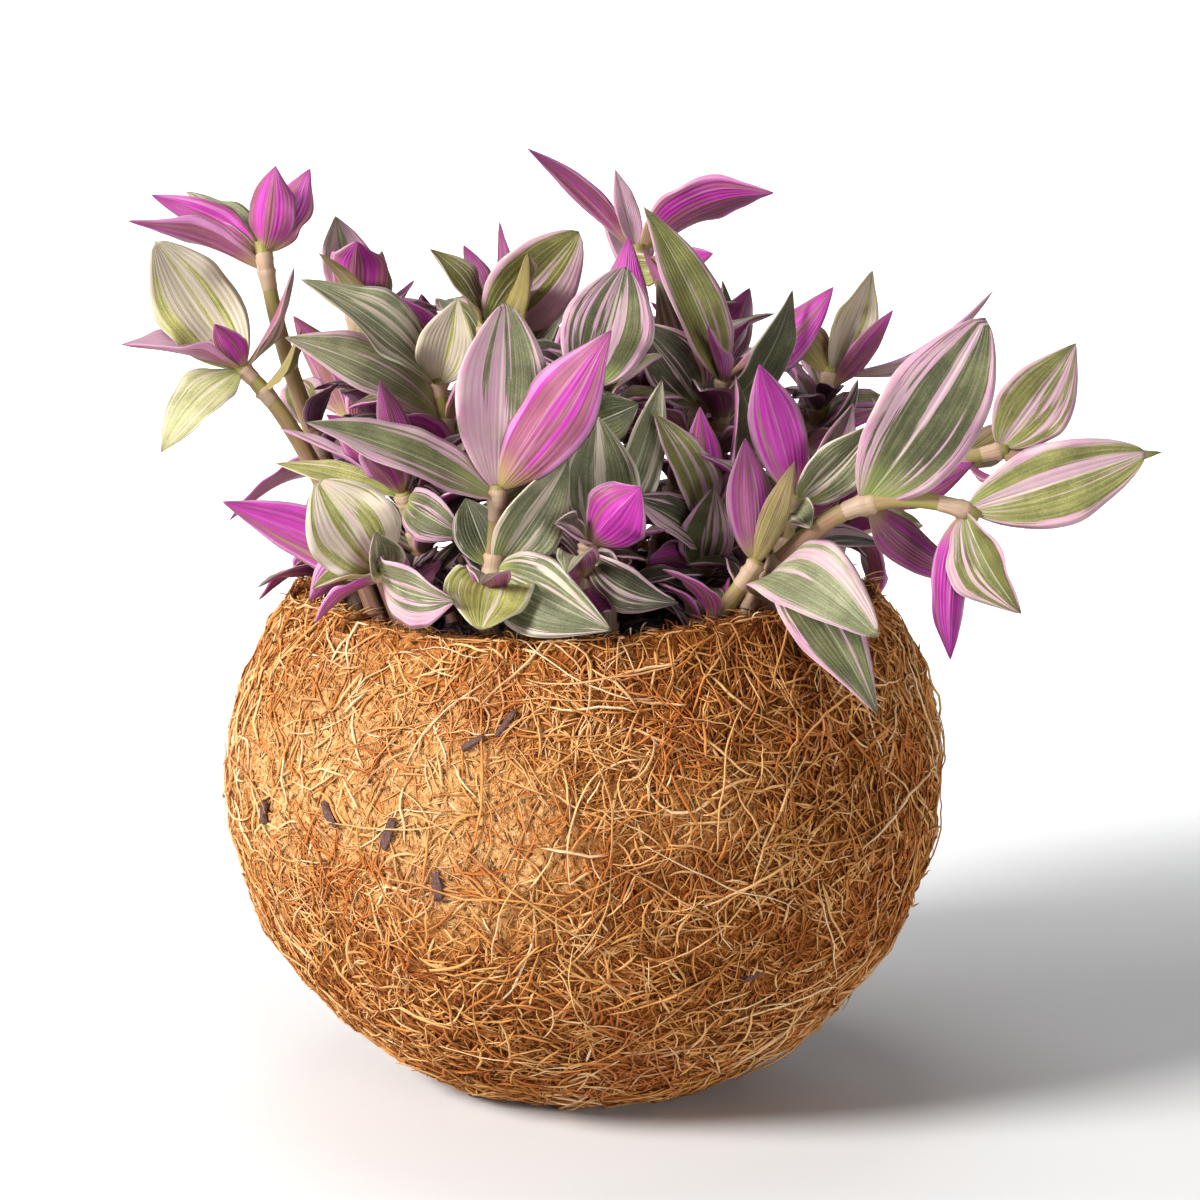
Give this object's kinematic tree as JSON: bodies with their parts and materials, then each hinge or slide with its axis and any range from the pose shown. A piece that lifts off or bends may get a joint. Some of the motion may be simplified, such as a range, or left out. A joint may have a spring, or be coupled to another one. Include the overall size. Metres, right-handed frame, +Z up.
{
  "type": "potted tradescantia",
  "caption": "Striped pink, green and cream tradescantia with many leafy stems, growing in soil in a round, flat-based pot of matted coconut fibre.",
  "frame": {"origin": "centre of the pot's flat base, on the floor", "axes": "+Z up, -Y towards the viewer in the picture, +X to the viewer's right"},
  "size_m": [0.231, 0.1945, 0.209],
  "materials": {
    "coir": "rough matted fibre, golden brown",
    "potting_soil": "dark, damp and crumbly",
    "foliage": "soft satin leaves striped in green, cream and pink, magenta underneath"
  },
  "bodies": {
    "root": {"coir_pot": "coir", "potting_soil": "potting_soil", "shoot_front_left": "foliage", "shoot_right_reach": "foliage", "shoot_left_rim": "foliage", "shoot_magenta_spear": "foliage", "shoot_purple_spear": "foliage", "shoot_far_left_low": "foliage", "shoot_far_left_high": "foliage", "shoot_far_right": "foliage", "shoot_upper_right": "foliage", "shoot_crown": "foliage", "shoot_left_pair": "foliage", "shoot_top_left": "foliage", "shoot_top_back": "foliage", "shoot_right_back": "foliage", "shoot_upper_left": "foliage", "shoot_left_low": "foliage", "shoot_inner_back": "foliage", "shoot_inner_upright": "foliage", "shoot_inner_right": "foliage", "shoot_front_small": "foliage", "shoot_back_left_reach": "foliage", "shoot_back_left": "foliage", "shoot_back_middle": "foliage", "shoot_back_right": "foliage", "shoot_back_right_reach": "foliage", "shoot_middle_back": "foliage", "shoot_middle_right": "foliage", "shoot_side_right": "foliage", "shoot_side_left": "foliage"}
  },
  "joints": []
}
